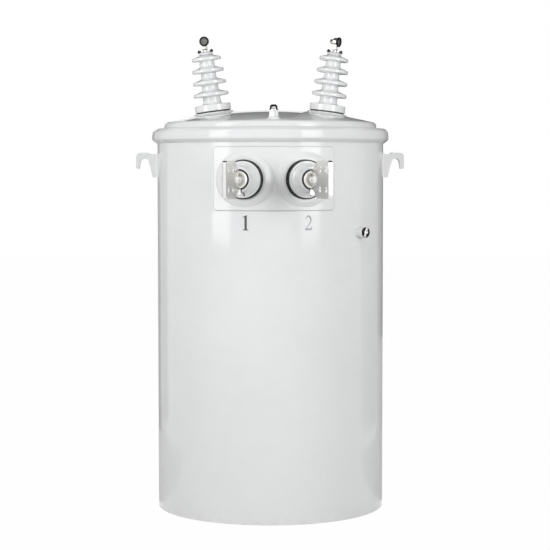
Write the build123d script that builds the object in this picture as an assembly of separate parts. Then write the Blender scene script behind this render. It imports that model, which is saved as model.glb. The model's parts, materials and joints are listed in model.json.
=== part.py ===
from build123d import *
import math
import os

# Pole mounted transformer: a round, oil filled tank under a domed lid.
# Millimetres. Z is up, the tank stands on z = 0, and the front faces -Y.
# Distances from the tank are measured outwards from its wall, heights on a
# bushing from its seat, so that every fitting follows the piece it stands on.

# ---- tank -------------------------------------------------------------
TANK_R = 280.0            # outer radius of the tank wall
WALL = 3.5                # tank sheet
RIM_TOP = 921.0           # top face of the rolled rim
RIM_OUT = 8.5             # how far the rolled rim stands out from the wall
RIM_TALL = 12.5           # upright part of the rim
RIM_NECK = 6.8            # slope under it
BOTTOM_TOP = 27.0         # inner floor
BOTTOM_SHEET = 5.0
BOTTOM_FLANGE = 21.0      # height of the turned-down edge of the bottom pan
CORE_UNDER = 77.5         # top of core and oil below the low voltage studs
CORE_BEVEL = 8.0
OIL_GAP = 0.2

RIM_R = TANK_R + RIM_OUT
RIM_LOW = RIM_TOP - RIM_TALL
NECK_LOW = RIM_LOW - RIM_NECK

# ---- lid, gasket and clamp band ----------------------------------------
LID_SHEET = 3.5
LID_RISE = 49.0           # crown above the flange
STEP_TALL = 16.5          # upright step of the lid
STEP_IN = 17.5            # the step stands this far inside the tank face
STEP_ROUND = 9.0
GASKET_T = 8.5
GASKET_IN = 14.0          # inner edge of the gasket inside the tank face
FLANGE_IN = 2.5           # edge of the lid flange inside the rim edge
CURL_GAP = 1.2            # the flange edge turns down and stops above the rim
SEAL_CLEAR = 0.2
BAND_SHEET = 2.5
BAND_CLEAR = 1.8          # free space between rim and band
BAND_LIP = 0.3            # clearance of the band's lower lip from the wall
BAND_LAP = 3.0            # clearance of its upper edge from the lid's step
BAND_UNDER = 0.5          # gap between its lower lip and the slope of the rim
BAND_GAP = 14.0           # split at the back
EAR_LONG = 22.0
EAR_DEEP = 28.0
EAR_TALL = 22.0
EAR_UNDER = 5.0           # ear centre below the rim top
EAR_IN = 1.6              # the ears start this far inside the band face
BAND_BOLT_R = 5.0
BAND_HEAD_AF = 16.0
BAND_BOLT_OUT = 15.0      # bolt centre outside the band
BOLT_CLEAR = 0.5

FLANGE_TOP = RIM_TOP + GASKET_T + LID_SHEET
FLANGE_R = RIM_R - FLANGE_IN
STEP_R = TANK_R - STEP_IN
DOME_RISE = LID_RISE - STEP_TALL
DOME_R = (STEP_R ** 2 + DOME_RISE ** 2) / (2 * DOME_RISE)
DOME_Z = FLANGE_TOP + LID_RISE - DOME_R
BAND_R = RIM_R + BAND_CLEAR + BAND_SHEET
EAR_Z = RIM_TOP - EAR_UNDER
BOLT_Y = BAND_R + BAND_BOLT_OUT

# ---- filling point at the front of the lid -------------------------------
FILL_IN = 35.5            # coupling centre inside the lid's step
FILL_AF = 21.2
FILL_TALL = 17.5          # above the dome
FILL_BORE_R = 6.0
FILL_FOOT_R = 15.0
PLUG_AF = 15.6
PLUG_DEEP = 15.0         # below the coupling's top
PLUG_TALL = 12.8
PLUG_FLANGE_R = 10.7
PLUG_CLEAR = 0.1

FILL_R = STEP_R - FILL_IN
FILL_DOME = DOME_Z + math.sqrt(DOME_R ** 2 - FILL_R ** 2)
FILL_TOP = FILL_DOME + FILL_TALL

# ---- high voltage bushings, one at each side of the dome ----------------
HV_OFFSET = 140.0         # distance of each base from the tank axis
HV_HOLE_R = 24.0
HV_TAIL_CLEAR = 2.0       # porcelain tail in the lid's hole
HV_PAD_TOP = 3.5
HV_PAD_R = 47.5
HV_PAD_SKIRT = 15.0       # soft edge round the pad
HV_GASKET_R = 42.0
HV_GASKET_T = 3.0
HV_FLANGE_R = 44.5
HV_FLANGE_T = 16.5
HV_SHED_LOW = 41.4        # height of the lowest shed above the seat
HV_SHED_PITCH = 29.4
HV_SHED_REACH = (43.5, 41.4, 39.5, 36.2)
HV_CORES = (22.5, 21.0, 19.3, 19.2, 16.5)
HV_SHED_SLOPE = 17.0      # of the upper face, in degrees
HV_SHED_UP = 3.6          # blunt edge of a shed, above and below its height
HV_SHED_DOWN = 4.0
HV_NECK = 10.4            # porcelain top above the last shed
HV_TAIL = 70.0
HV_STUD_R = 5.9
HV_STUD_CLEAR = 0.3
HV_CAP_R = 18.2
HV_CAP_T = 7.0
HV_CAP_RISE = 0.6
HV_STEM_AF = 13.5
HV_STEM_FOOT = 3.6        # bare stud between cap and stem
HV_WIRE_R = 2.7
HV_WIRE_DOWN = 3.6        # cross hole below the stem's top
HV_EYE_UP = 33.0          # eye centre above the porcelain top
HV_EYE_R = 10.0
HV_EYE_T = 9.0
HV_CLAMP_R = 6.0
HV_CLAMP_CLEAR = 0.1
HV_CUP_CLEAR = 0.4        # stem top to the clamp's cup
HV_CUP_R = 12.0
HV_CUP_T = 5.8
HV_KNOB_AF = 11.0
HV_TURN = (0.0, 62.0)     # left and right terminals, turned about their studs
HV_DRILL = (0.0, -60.0)   # the pair of stem flats drilled for the wire

HV_TILT = math.degrees(math.asin(HV_OFFSET / DOME_R))
HV_SEAT = HV_PAD_TOP + HV_GASKET_T
HV_SHEDS = [HV_SHED_LOW + i * HV_SHED_PITCH for i in range(len(HV_SHED_REACH))]
HV_TOP = HV_SHEDS[-1] + HV_NECK
HV_BORE_R = HV_STUD_R + HV_STUD_CLEAR
HV_CAP_TOP = HV_CAP_T + HV_CAP_RISE

# ---- low voltage bushings on the tank front ------------------------------
LV_ANGLE = 14.5           # each side of the front centre line
LV_Z = 812.5
LV_PLATE_T = 3.0
LV_PLATE_SIDE = 15.3      # the plate ends this many degrees beyond the bushings
LV_PLATE_DOWN = 71.0      # plate edges below and above the bushings
LV_PLATE_UP = 75.2
LV_PLATE_ROUND = 7.0
LV_HOLE_R = 34.0
LV_COLLAR_OUT = 10.0      # collar face outside the tank wall
LV_COLLAR_R = 53.5        # flat seat; the slope runs on to the middle line
LV_COLLAR_APART = 0.3     # each collar stops this far from the middle line
LV_GASKET_R = 46.0
LV_GASKET_T = 3.5
LV_LIP = 5.5              # gasket lip up the side of the porcelain foot
LV_LIP_CLEAR = 0.2
LV_FOOT_R = 43.0
LV_FOOT_T = 7.5
LV_LONG = 44.5            # porcelain from its seat to its front
LV_RECESS_R = 24.0
LV_RECESS_DEEP = 8.0
LV_NOTCH = 15.0           # slot below the recess for the spade's key
LV_TAIL_IN = 42.0         # porcelain tail inside the tank wall
LV_TAIL_CLEAR = 2.0
LV_STUD_R = 8.0
LV_STUD_CLEAR = 0.2
LV_STUD_OUT = 9.0         # stud end past the porcelain front
LV_NUT_AF = 30.0
LV_NUT_T = 12.0
LV_TAIL_ROD = 22.0        # bare stud behind the tail
LV_HUB_CLEAR = 3.2        # hub in the recess
LV_BARREL_R = 12.6
LV_BARREL = 19.5          # barrel past the porcelain front
KEY_WIDE = 10.0
KEY_LONG = 15.5
SPADE_T = 9.5
SPADE_LONG = 133.0        # from the porcelain front to the end of the pad
SPADE_HALF = 42.8
SPADE_NECK = 17.0         # half height where it leaves the hub
SPADE_START = 6.0         # start of the pad, from the porcelain front
SPADE_TAPER = 51.0        # end of the taper, from the porcelain front
PAD_PITCH = 44.45         # hole spacing, both ways
PAD_HOLE_R = 7.15
PAD_EDGE = 17.8           # outer holes from the end of the pad

LV_PLATE_R = TANK_R + LV_PLATE_T
LV_PLATE_HALF = LV_ANGLE + LV_PLATE_SIDE
LV_COLLAR_RIM = TANK_R * math.sin(math.radians(LV_ANGLE)) - LV_COLLAR_APART
LV_COLLAR_FACE = TANK_R + LV_COLLAR_OUT
LV_SEAT = LV_COLLAR_FACE + LV_GASKET_T
LV_FRONT = LV_SEAT + LV_LONG
LV_RECESS = LV_FRONT - LV_RECESS_DEEP
LV_TAIL = TANK_R - LV_TAIL_IN
LV_HUB_R = LV_RECESS_R - LV_HUB_CLEAR
SPADE_OUT = LV_FRONT + SPADE_LONG
PAD_CENTRE = SPADE_OUT - PAD_EDGE - PAD_PITCH / 2

# ---- fittings on the tank -------------------------------------------------
WELD_SINK = 18.0          # a fitting is drawn this deep, then cut to the wall
LUG_TOP = 877.3
LUG_STEP = 3.5            # the inner part of the lug is this much lower
LUG_TIP = 40.0            # hook tip below the top
LUG_FOOT = 61.3           # foot of the leg below the top
LUG_OUT = 52.0            # outer face of the hook from the tank wall
LUG_OVER = 14.8           # thickness over the arch
LUG_LEG_TOP = 22.5        # leg thickness under the arch and at the foot
LUG_LEG_FOOT = 11.0
LUG_HOOK_TOP = 12.2       # hook thickness under the arch and at the tip
LUG_HOOK_TIP = 8.5
LUG_WIDE = 32.0
HANG_TOP = 800.0          # top of the upper bolt slot
HANG_PITCH = 590.55       # spacing of the two bolt slots
HANG_OUT = 98.0           # pole face of both brackets from the tank wall
HANG_T = 8.0
HANG_WIDE = 92.0
HANG_ABOVE = 40.0         # bracket above and below the top of its slot
HANG_BELOW = 78.0
HANG_SLOT = 20.6
HANG_WEB = 6.0
HANG_WEB_IN = 12.0        # web centres inside the edges of the face
VALVE_ANGLE = 47.0
VALVE_Z = 686.4
VALVE_HOLE_R = 8.0
VALVE_BOSS_R = 13.0
VALVE_BOSS_OUT = 17.0
VALVE_R = 12.4
GROUND_ANGLE = 152.0
GROUND_Z = 78.0
GROUND_BOSS_R = 17.0
GROUND_BOSS_OUT = 13.0
GROUND_BOLT_R = 6.9
THREAD_CLEAR = 0.1

LUG_X = TANK_R + LUG_OUT
LUG_ARCH_Z = LUG_TOP - LUG_OVER
HANG_FACE = TANK_R + HANG_OUT
VALVE_BOSS_END = TANK_R + VALVE_BOSS_OUT
GROUND_END = TANK_R + GROUND_BOSS_OUT


# ======================= shared shapes ====================================

def outline(corners):
    """A closed face in the XZ plane; each corner is x, z and its round."""
    n = len(corners)
    starts = []
    ends = []
    arcs = []
    for i in range(n):
        here = corners[i]
        x, z = here[0], here[1]
        r = here[2] if len(here) > 2 else 0.0
        px, pz = corners[i - 1][0], corners[i - 1][1]
        qx, qz = corners[(i + 1) % n][0], corners[(i + 1) % n][1]
        ax, az = px - x, pz - z
        bx, bz = qx - x, qz - z
        la, lb = math.hypot(ax, az), math.hypot(bx, bz)
        ax, az, bx, bz = ax / la, az / la, bx / lb, bz / lb
        if r <= 0:
            starts.append((x, z))
            ends.append((x, z))
            arcs.append(None)
            continue
        half = math.acos(max(-1.0, min(1.0, ax * bx + az * bz))) / 2
        back = r / math.tan(half)
        mx, mz = ax + bx, az + bz
        lm = math.hypot(mx, mz)
        reach = r / math.sin(half) - r
        starts.append((x + ax * back, z + az * back))
        ends.append((x + bx * back, z + bz * back))
        arcs.append((x + mx / lm * reach, z + mz / lm * reach))
    edges = []
    for i in range(n):
        sx, sz = starts[i]
        ex, ez = ends[i]
        if arcs[i] is not None:
            mx, mz = arcs[i]
            edges.append(ThreePointArc((sx, 0, sz), (mx, 0, mz), (ex, 0, ez)))
        nx, nz = starts[(i + 1) % n]
        if math.hypot(nx - ex, nz - ez) > 1e-6:
            edges.append(Line((ex, 0, ez), (nx, 0, nz)))
    return Face(Wire(edges))


def turned(corners):
    """A solid of revolution about Z from radius, height and corner round."""
    return revolve(outline(corners), Axis.Z, 360)


def rod(radius, low, high):
    return Pos(0, 0, (low + high) / 2) * Cylinder(radius, high - low)


def hexagon(across_flats, low, high, turn=0.0):
    prism = extrude(RegularPolygon(across_flats / 2, 6, major_radius=False), high - low)
    return Pos(0, 0, low) * Rot(0, 0, turn) * prism


def hex_head(across_flats, low, high):
    """A hexagon whose top corners are turned off."""
    reach = across_flats / math.sqrt(3)
    crop = turned([(0, low), (reach, low), (reach, high - 1.2), (across_flats / 2, high), (0, high)])
    return hexagon(across_flats, low, high) & crop


def outward(angle, height):
    """A frame on the tank axis: its Z points out at the angle, its Y points up."""
    return Pos(0, 0, height) * Rot(0, 0, angle) * Rot(90, 0, 0)


def on_dome(side):
    """A frame on the dome where a bushing stands; side is -1 left or +1 right."""
    return Pos(0, 0, DOME_Z) * Rot(0, side * HV_TILT, 0) * Pos(0, 0, DOME_R)



# ======================= tank =============================================

def tank_wall():
    inner = TANK_R - WALL
    wall = turned([
        (inner, 0), (TANK_R, 0), (TANK_R, NECK_LOW, 2.0), (RIM_R, RIM_LOW, 3.0),
        (RIM_R, RIM_TOP, 3.5), (inner, RIM_TOP, 1.0),
    ])
    for side in (-1, 1):
        wall -= outward(side * LV_ANGLE, LV_Z) * rod(LV_HOLE_R, TANK_R - 40, TANK_R + 20)
    return wall - outward(VALVE_ANGLE, VALVE_Z) * rod(VALVE_HOLE_R, TANK_R - 20, TANK_R + 20)


def tank_bottom():
    """Pan pressed from sheet, its edge turned down inside the tank's foot."""
    inner = TANK_R - WALL
    low = BOTTOM_TOP - BOTTOM_SHEET
    return turned([
        (0, low), (inner - BOTTOM_SHEET, low, 2.0),
        (inner - BOTTOM_SHEET, BOTTOM_TOP - BOTTOM_FLANGE),
        (inner, BOTTOM_TOP - BOTTOM_FLANGE), (inner, BOTTOM_TOP, 7.0), (0, BOTTOM_TOP),
    ])


def core_and_oil():
    radius = TANK_R - WALL - OIL_GAP
    top = LV_Z - CORE_UNDER
    return turned([
        (0, BOTTOM_TOP), (radius - CORE_BEVEL, BOTTOM_TOP), (radius, BOTTOM_TOP + CORE_BEVEL),
        (radius, top), (0, top),
    ])


# ======================= lid ==============================================

def dome_solid(step_r, ball_r, base_z, corner):
    """Solid under a spherical dome, with a rounded shoulder above an upright step."""
    cx = step_r - corner
    cz = DOME_Z + math.sqrt((ball_r - corner) ** 2 - cx ** 2)
    lean = math.atan2(cx, cz - DOME_Z)
    tx, tz = ball_r * math.sin(lean), DOME_Z + ball_r * math.cos(lean)
    half = (lean + math.pi / 2) / 2
    mx, mz = cx + corner * math.sin(half), cz + corner * math.cos(half)
    half = lean / 2
    dx, dz = ball_r * math.sin(half), DOME_Z + ball_r * math.cos(half)
    top = DOME_Z + ball_r
    edges = [
        Line((0, 0, base_z), (step_r, 0, base_z)),
        Line((step_r, 0, base_z), (step_r, 0, cz)),
        ThreePointArc((step_r, 0, cz), (mx, 0, mz), (tx, 0, tz)),
        ThreePointArc((tx, 0, tz), (dx, 0, dz), (0, 0, top)),
        Line((0, 0, top), (0, 0, base_z)),
    ]
    return revolve(Face(Wire(edges)), Axis.Z, 360)


def lid():
    """Dished cover: spherical dome, rounded step and a turned-down flange."""
    under = FLANGE_TOP - LID_SHEET
    step_in = STEP_R - LID_SHEET
    edge_in = FLANGE_R - LID_SHEET
    outer = dome_solid(STEP_R, DOME_R, under, STEP_ROUND)
    inner = dome_solid(step_in, DOME_R - LID_SHEET, under - 5, STEP_ROUND - LID_SHEET)
    flange = turned([
        (step_in, under), (edge_in, under, 1.0), (edge_in, RIM_TOP + CURL_GAP),
        (FLANGE_R, RIM_TOP + CURL_GAP), (FLANGE_R, FLANGE_TOP, 3.5), (step_in, FLANGE_TOP),
    ])
    shell = outer + flange - inner
    for side in (-1, 1):
        shell -= on_dome(side) * rod(HV_HOLE_R, -20, 20)
    return shell - Pos(0, -FILL_R, FILL_DOME) * rod(FILL_BORE_R, -20, 20)


def lid_gasket():
    inner = TANK_R - GASKET_IN
    outer = FLANGE_R - LID_SHEET - SEAL_CLEAR
    high = RIM_TOP + GASKET_T
    return turned([(inner, RIM_TOP), (outer, RIM_TOP), (outer, high, 1.2), (inner, high)])


def cover_band():
    """Rolled channel over lid flange and tank rim, split at the back, with two ears."""
    t = BAND_SHEET
    inside = BAND_R - t
    slope = RIM_NECK / RIM_OUT
    lean = math.hypot(1.0, slope)
    lip_x = TANK_R + BAND_LIP
    lip_z = NECK_LOW + slope * BAND_LIP - BAND_UNDER
    bend_z = lip_z + slope * (inside - lip_x)
    section = outline([
        (STEP_R + BAND_LAP, FLANGE_TOP), (STEP_R + BAND_LAP, FLANGE_TOP + t, 1.0),
        (FLANGE_R - t, FLANGE_TOP + t, 5.0), (BAND_R - 1.6, FLANGE_TOP - 5.0, 6.0),
        (BAND_R, RIM_TOP - 4.0, 8.0), (BAND_R, bend_z - t * lean + t * slope, 6.0),
        (lip_x + t * slope / lean, lip_z - t / lean, 0.8), (lip_x, lip_z, 0.5),
        (inside, bend_z, 3.0), (inside, RIM_TOP - 4.0, 5.0),
        (inside - 1.5, FLANGE_TOP - 6.5, 3.5), (FLANGE_R - 1.5, FLANGE_TOP, 2.5),
    ])
    band = revolve(section, Axis.Z, 360)
    ears = Box(BAND_GAP + 2 * EAR_LONG, EAR_DEEP, EAR_TALL)
    ears = fillet(ears.edges().filter_by(Axis.X).sort_by(Axis.Y)[-2:], 6.0)
    band += Pos(0, BAND_R - EAR_IN + EAR_DEEP / 2, EAR_Z) * ears
    band -= Pos(0, BAND_R, EAR_Z) * Box(BAND_GAP, 80, 80)
    hole = Rot(0, 90, 0) * Cylinder(BAND_BOLT_R + BOLT_CLEAR, 120)
    return band - Pos(0, BOLT_Y, EAR_Z) * hole


def band_bolt():
    side = BAND_GAP / 2 + EAR_LONG
    bolt = rod(BAND_BOLT_R, -side - 3, side + 16)
    bolt += hex_head(BAND_HEAD_AF, side, side + 8.4)
    bolt += Rot(180, 0, 0) * hex_head(BAND_HEAD_AF, side, side + 6.5)
    return Pos(0, BOLT_Y, EAR_Z) * Rot(0, 90, 0) * bolt


def fill_coupling():
    """Hexagonal welded coupling that stands on the dome, its top corners turned off."""
    corner = FILL_AF / math.sqrt(3)
    block = hexagon(FILL_AF, -16, FILL_TALL, 30)
    block &= turned([
        (0, -16), (corner, -16), (corner, FILL_TALL - 3.0), (FILL_AF / 2 - 0.2, FILL_TALL), (0, FILL_TALL),
    ])
    foot = turned([(0, -16), (FILL_FOOT_R, -16), (FILL_FOOT_R, -0.6), (corner - 0.8, 2.6), (0, 2.6)])
    body = block + foot - rod(FILL_BORE_R, -30, FILL_TALL + 10)
    return Pos(0, -FILL_R, FILL_DOME) * body - Pos(0, 0, DOME_Z) * Sphere(DOME_R)


def fill_plug():
    """Plug with a flared washer face and a domed hexagon."""
    flange = turned([(0, 0), (PLUG_FLANGE_R, 0), (PLUG_FLANGE_R, 1.8, 0.9), (8.2, 3.6, 0.8), (0, 3.6)])
    head = hexagon(PLUG_AF, 3.5, PLUG_TALL)
    head &= turned([
        (0, 3.5), (PLUG_AF, 3.5), (PLUG_AF / 2 + 1.2, PLUG_TALL - 4.0),
        (PLUG_AF / 2 - 2.0, PLUG_TALL, 3.0), (0, PLUG_TALL),
    ])
    shank = rod(FILL_BORE_R - PLUG_CLEAR, -PLUG_DEEP, 0.1)
    return Pos(0, -FILL_R, FILL_TOP) * (head + flange + shank)


# ======================= high voltage bushings =============================

def hv_top(side):
    """The frame on the porcelain's top, where cap and terminal stand."""
    return on_dome(side) * Pos(0, 0, HV_SEAT + HV_TOP)


def hv_turn(side):
    """The same frame turned about the stud with the terminal."""
    return hv_top(side) * Rot(0, 0, HV_TURN[side > 0])


def hv_pad(side):
    """Embossed seat that blends into the dome."""
    skirt = HV_PAD_R + HV_PAD_SKIRT
    pad = turned([
        (HV_HOLE_R, -8), (skirt, -8), (skirt, -1.4), (HV_PAD_R + 4.0, 0.4, 5.0),
        (HV_PAD_R, HV_PAD_TOP, 1.2), (HV_HOLE_R, HV_PAD_TOP),
    ])
    return on_dome(side) * pad - Pos(0, 0, DOME_Z) * Sphere(DOME_R)


def hv_gasket(side):
    ring = turned([
        (HV_HOLE_R, HV_PAD_TOP), (HV_GASKET_R, HV_PAD_TOP, 0.6),
        (HV_GASKET_R, HV_SEAT, 0.6), (HV_HOLE_R, HV_SEAT),
    ])
    return on_dome(side) * ring


def hv_porcelain(side):
    """Glazed insulator: foot flange, four drip sheds, and a tail inside the tank."""
    tail_r = HV_HOLE_R - HV_TAIL_CLEAR
    corners = [
        (HV_BORE_R, -HV_TAIL), (tail_r - 3, -HV_TAIL, 2.0), (tail_r, 0),
        (HV_FLANGE_R, 0, 1.5), (HV_FLANGE_R, HV_FLANGE_T, 2.4),
        (HV_CORES[0], HV_FLANGE_T + 1.8, 6.0),
    ]
    slope = math.tan(math.radians(HV_SHED_SLOPE))
    for i in range(len(HV_SHEDS)):
        height, reach = HV_SHEDS[i], HV_SHED_REACH[i]
        below, above = HV_CORES[i], HV_CORES[i + 1]
        corners.append((below - 0.8, height - HV_SHED_DOWN - 1.4, 1.0))
        corners.append((reach, height - HV_SHED_DOWN, 2.8))
        corners.append((reach, height + HV_SHED_UP, 3.4))
        if i + 1 < len(HV_SHEDS):
            corners.append((above, height + HV_SHED_UP + (reach - above) * slope, 5.0))
    corners.append((HV_CORES[-1], HV_TOP - 1.0, 0.4))
    corners.append((HV_CORES[-1] - 1.0, HV_TOP))
    corners.append((HV_BORE_R, HV_TOP))
    return on_dome(side) * Pos(0, 0, HV_SEAT) * turned(corners)


def hv_cap(side):
    """Cap over the porcelain, with an upturned ear at each side for a screw."""
    cap = turned([
        (HV_BORE_R, 0), (HV_CAP_R, 0), (HV_CAP_R - 1.5, HV_CAP_T - 1.5, 2.5),
        (HV_BORE_R + 3, HV_CAP_TOP), (HV_BORE_R, HV_CAP_TOP),
    ])
    for way in (-1, 1):
        cap += Pos(way * (HV_CAP_R - 3.9), 0, HV_CAP_T) * Rot(0, way * 24, 0) * Box(4.4, 8.0, 9.0)
    cap -= rod(HV_BORE_R, -5, 20)
    cap -= rod(40, -20, 0)
    return hv_top(side) * cap


def hv_terminal(side):
    """Through stud, shaped stem with a cross hole for the wire, and a round eye."""
    stud_r = HV_STUD_R
    low = HV_CAP_TOP + HV_STEM_FOOT
    top = HV_EYE_UP - HV_CUP_R - HV_CUP_CLEAR
    corner = HV_STEM_AF / math.sqrt(3) + 0.1
    body = rod(stud_r, -HV_TOP - HV_TAIL - 18, HV_CAP_TOP)
    body += rod(stud_r - 1.3, HV_CAP_TOP - 0.1, low + 0.8)
    stem = hexagon(HV_STEM_AF, low, top, 30)
    stem &= turned([(0, low), (corner - 3.8, low), (corner, low + 4.0), (corner, top), (0, top)])
    stem += Pos(0, 0, top + 3) * Box(HV_STEM_AF - 1.5, HV_EYE_T, 8.0)
    eye = Rot(90, 0, 0) * Cylinder(HV_EYE_R, HV_EYE_T)
    eye = Pos(0, 0, HV_EYE_UP) * chamfer(eye.edges().filter_by(GeomType.CIRCLE), 1.0)
    body = body + stem + eye
    body -= Pos(0, 0, HV_EYE_UP) * (Rot(90, 0, 0) * Cylinder(HV_CLAMP_R, 40))
    drill = Rot(0, 0, HV_DRILL[side > 0]) * Rot(0, 90, 0) * Cylinder(HV_WIRE_R, 40)
    body -= Pos(0, 0, top - HV_WIRE_DOWN) * drill
    return hv_turn(side) * body


def hv_clamp(side):
    """Clamp bolt through the eye: a hollow cup on one face, a hexagon on the other."""
    half = HV_EYE_T / 2
    face = half + HV_CUP_T
    cup = turned([
        (0, half), (HV_CUP_R - 1.4, half), (HV_CUP_R, half + 1.6, 1.2), (HV_CUP_R, face, 1.2),
        (HV_CUP_R - 2.6, face, 0.8), (HV_CUP_R - 3.4, face - 2.4, 0.5), (0, face - 2.4),
    ])
    shank = rod(HV_CLAMP_R - HV_CLAMP_CLEAR, -half - 1, half + 0.5)
    knob = rod(7.4, half, half + 1.6) + hex_head(HV_KNOB_AF, half + 1.5, half + 9.6)
    bolt = cup + shank + Rot(180, 0, 0) * knob
    return hv_turn(side) * Pos(0, 0, HV_EYE_UP) * Rot(90, 0, 0) * bolt


# ======================= low voltage bushings ==============================

def lv_plate():
    """Reinforcing sheet rolled to the tank front, with rounded corners."""
    low, high = LV_Z - LV_PLATE_DOWN, LV_Z + LV_PLATE_UP
    sheet = outline([(TANK_R, low), (LV_PLATE_R, low), (LV_PLATE_R, high), (TANK_R, high)])
    plate = Rot(0, 0, -90 - LV_PLATE_HALF) * revolve(sheet, Axis.Z, 2 * LV_PLATE_HALF)
    corners = [e for e in plate.edges() if abs(e.length - LV_PLATE_T) < 0.01]
    plate = fillet(corners, LV_PLATE_ROUND)
    for side in (-1, 1):
        plate -= outward(side * LV_ANGLE, LV_Z) * rod(LV_HOLE_R, TANK_R - 40, TANK_R + 20)
    return plate


def lv_collar(side):
    """Raised round seat with a soft slope, fitted to the curve of the plate."""
    base = LV_COLLAR_FACE - 28
    rim = LV_COLLAR_RIM
    ring = turned([
        (LV_HOLE_R, base), (rim, base), (rim, LV_COLLAR_FACE - 14.0, 5.0),
        (rim - (rim - LV_COLLAR_R) / 3, LV_COLLAR_FACE - 6.5, 8.0), (LV_COLLAR_R, LV_COLLAR_FACE, 4.0),
        (LV_HOLE_R, LV_COLLAR_FACE),
    ])
    return outward(side * LV_ANGLE, LV_Z) * ring - rod(LV_PLATE_R, 0, RIM_TOP)


def lv_gasket(side):
    """Moulded ring with a raised lip round the porcelain foot."""
    lip_r = LV_FOOT_R + LV_LIP_CLEAR
    high = LV_SEAT + LV_LIP
    ring = turned([
        (LV_HOLE_R, LV_COLLAR_FACE), (LV_GASKET_R, LV_COLLAR_FACE, 0.8), (LV_GASKET_R, high, 1.0),
        (lip_r, high, 0.8), (lip_r, LV_SEAT), (LV_HOLE_R, LV_SEAT),
    ])
    return outward(side * LV_ANGLE, LV_Z) * ring


def lv_porcelain(side):
    """Stepped insulator with a slotted front recess and a tail through the tank wall."""
    bore = LV_STUD_R + LV_STUD_CLEAR
    tail_r = LV_HOLE_R - LV_TAIL_CLEAR
    foot = LV_SEAT + LV_FOOT_T
    step_r = LV_FOOT_R - 4.5
    rim = LV_RECESS_R + 5.0
    body = turned([
        (bore, LV_TAIL), (tail_r - 3, LV_TAIL, 2.0), (tail_r, LV_SEAT),
        (LV_FOOT_R, LV_SEAT, 1.2), (LV_FOOT_R, foot, 2.6),
        (step_r, foot + 1.5, 1.0), (step_r, foot + 5.0, 2.5), (rim + 4.5, foot + 10.5, 4.0),
        (rim + 1.5, foot + 22.0, 4.0), (rim, LV_FRONT, 2.0), (LV_RECESS_R, LV_FRONT, 1.2),
        (LV_RECESS_R, LV_RECESS, 1.0), (bore, LV_RECESS),
    ])
    middle = LV_RECESS_R + 6.0
    body -= Pos(0, -middle, LV_RECESS + 10.0) * Box(LV_NOTCH, 20.0, 20.0)
    return outward(side * LV_ANGLE, LV_Z) * body


def lv_stud(side):
    """Current rod from the inner connection out into the spade."""
    stud = rod(LV_STUD_R, LV_TAIL - LV_TAIL_ROD, LV_FRONT + LV_STUD_OUT)
    nut = hexagon(LV_NUT_AF, LV_TAIL - LV_NUT_T, LV_TAIL)
    return outward(side * LV_ANGLE, LV_Z) * (stud + nut)


def lv_spade(side):
    """Cast spade: round hub with a key, barrel, and an upright pad with four holes."""
    end = LV_FRONT + LV_BARREL
    hub = turned([
        (0, LV_RECESS), (LV_HUB_R, LV_RECESS), (LV_HUB_R, LV_FRONT + 1.5, 1.5),
        (LV_HUB_R - 3.0, LV_FRONT + 3.5, 2.0), (LV_BARREL_R, LV_FRONT + 4.0, 1.0),
        (LV_BARREL_R + 0.3, end - 5.5, 4.0), (LV_BARREL_R - 3.5, end, 3.0), (0, end),
    ])
    start, taper = LV_FRONT + SPADE_START, LV_FRONT + SPADE_TAPER
    # the outline is drawn as height and distance, then stood up on the bushing axis
    pad = extrude(Rot(0, 0, 90) * outline([
        (SPADE_NECK, start, 1.5), (SPADE_HALF, taper, 6.0), (SPADE_HALF, SPADE_OUT, 9.0),
        (-SPADE_HALF, SPADE_OUT, 9.0), (-SPADE_HALF, taper, 6.0), (-SPADE_NECK, start, 1.5),
    ]), SPADE_T / 2, both=True)
    flare = turned([(0, end - 6), (10, end - 6), (9, end + 7, 4.0), (5.5, end + 21), (0, end + 25)])
    key = Pos(0, 2.0 - LV_HUB_R - KEY_LONG / 2, LV_FRONT - 1.0) * Box(KEY_WIDE, KEY_LONG, 5.0)
    spade = hub + pad + flare + key
    for across in (-1, 1):
        for along in (-1, 1):
            spot = Pos(0, across * PAD_PITCH / 2, PAD_CENTRE + along * PAD_PITCH / 2)
            spade -= spot * (Rot(0, 90, 0) * Cylinder(PAD_HOLE_R, 40))
    spade -= rod(LV_STUD_R + THREAD_CLEAR, LV_RECESS - 5, LV_FRONT + LV_STUD_OUT)
    return outward(side * LV_ANGLE, LV_Z) * spade


# ======================= fittings ==========================================

def lifting_lug(side):
    """Strap bent over into a hook, welded to the side of the tank."""
    inside = TANK_R - WELD_SINK
    arch = LUG_TOP - LUG_OVER
    leg, hook = TANK_R + LUG_LEG_TOP, LUG_X - LUG_HOOK_TOP
    bend = 0.55 * (hook - leg)
    strap = outline([
        (inside, LUG_TOP - LUG_FOOT), (TANK_R + LUG_LEG_FOOT, LUG_TOP - LUG_FOOT, 2.0),
        (leg, arch, bend), (hook, arch, bend),
        (LUG_X - LUG_HOOK_TIP, LUG_TOP - LUG_TIP, 1.5), (LUG_X, LUG_TOP - LUG_TIP, 2.0),
        (LUG_X, LUG_TOP, 11.0), (leg - 1.0, LUG_TOP, 2.0),
        (leg - 4.0, LUG_TOP - LUG_STEP, 2.0), (inside, LUG_TOP - LUG_STEP),
    ])
    lug = extrude(strap, LUG_WIDE / 2, both=True) - rod(TANK_R, 0, RIM_TOP)
    return lug if side > 0 else Rot(0, 0, 180) * lug


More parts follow.
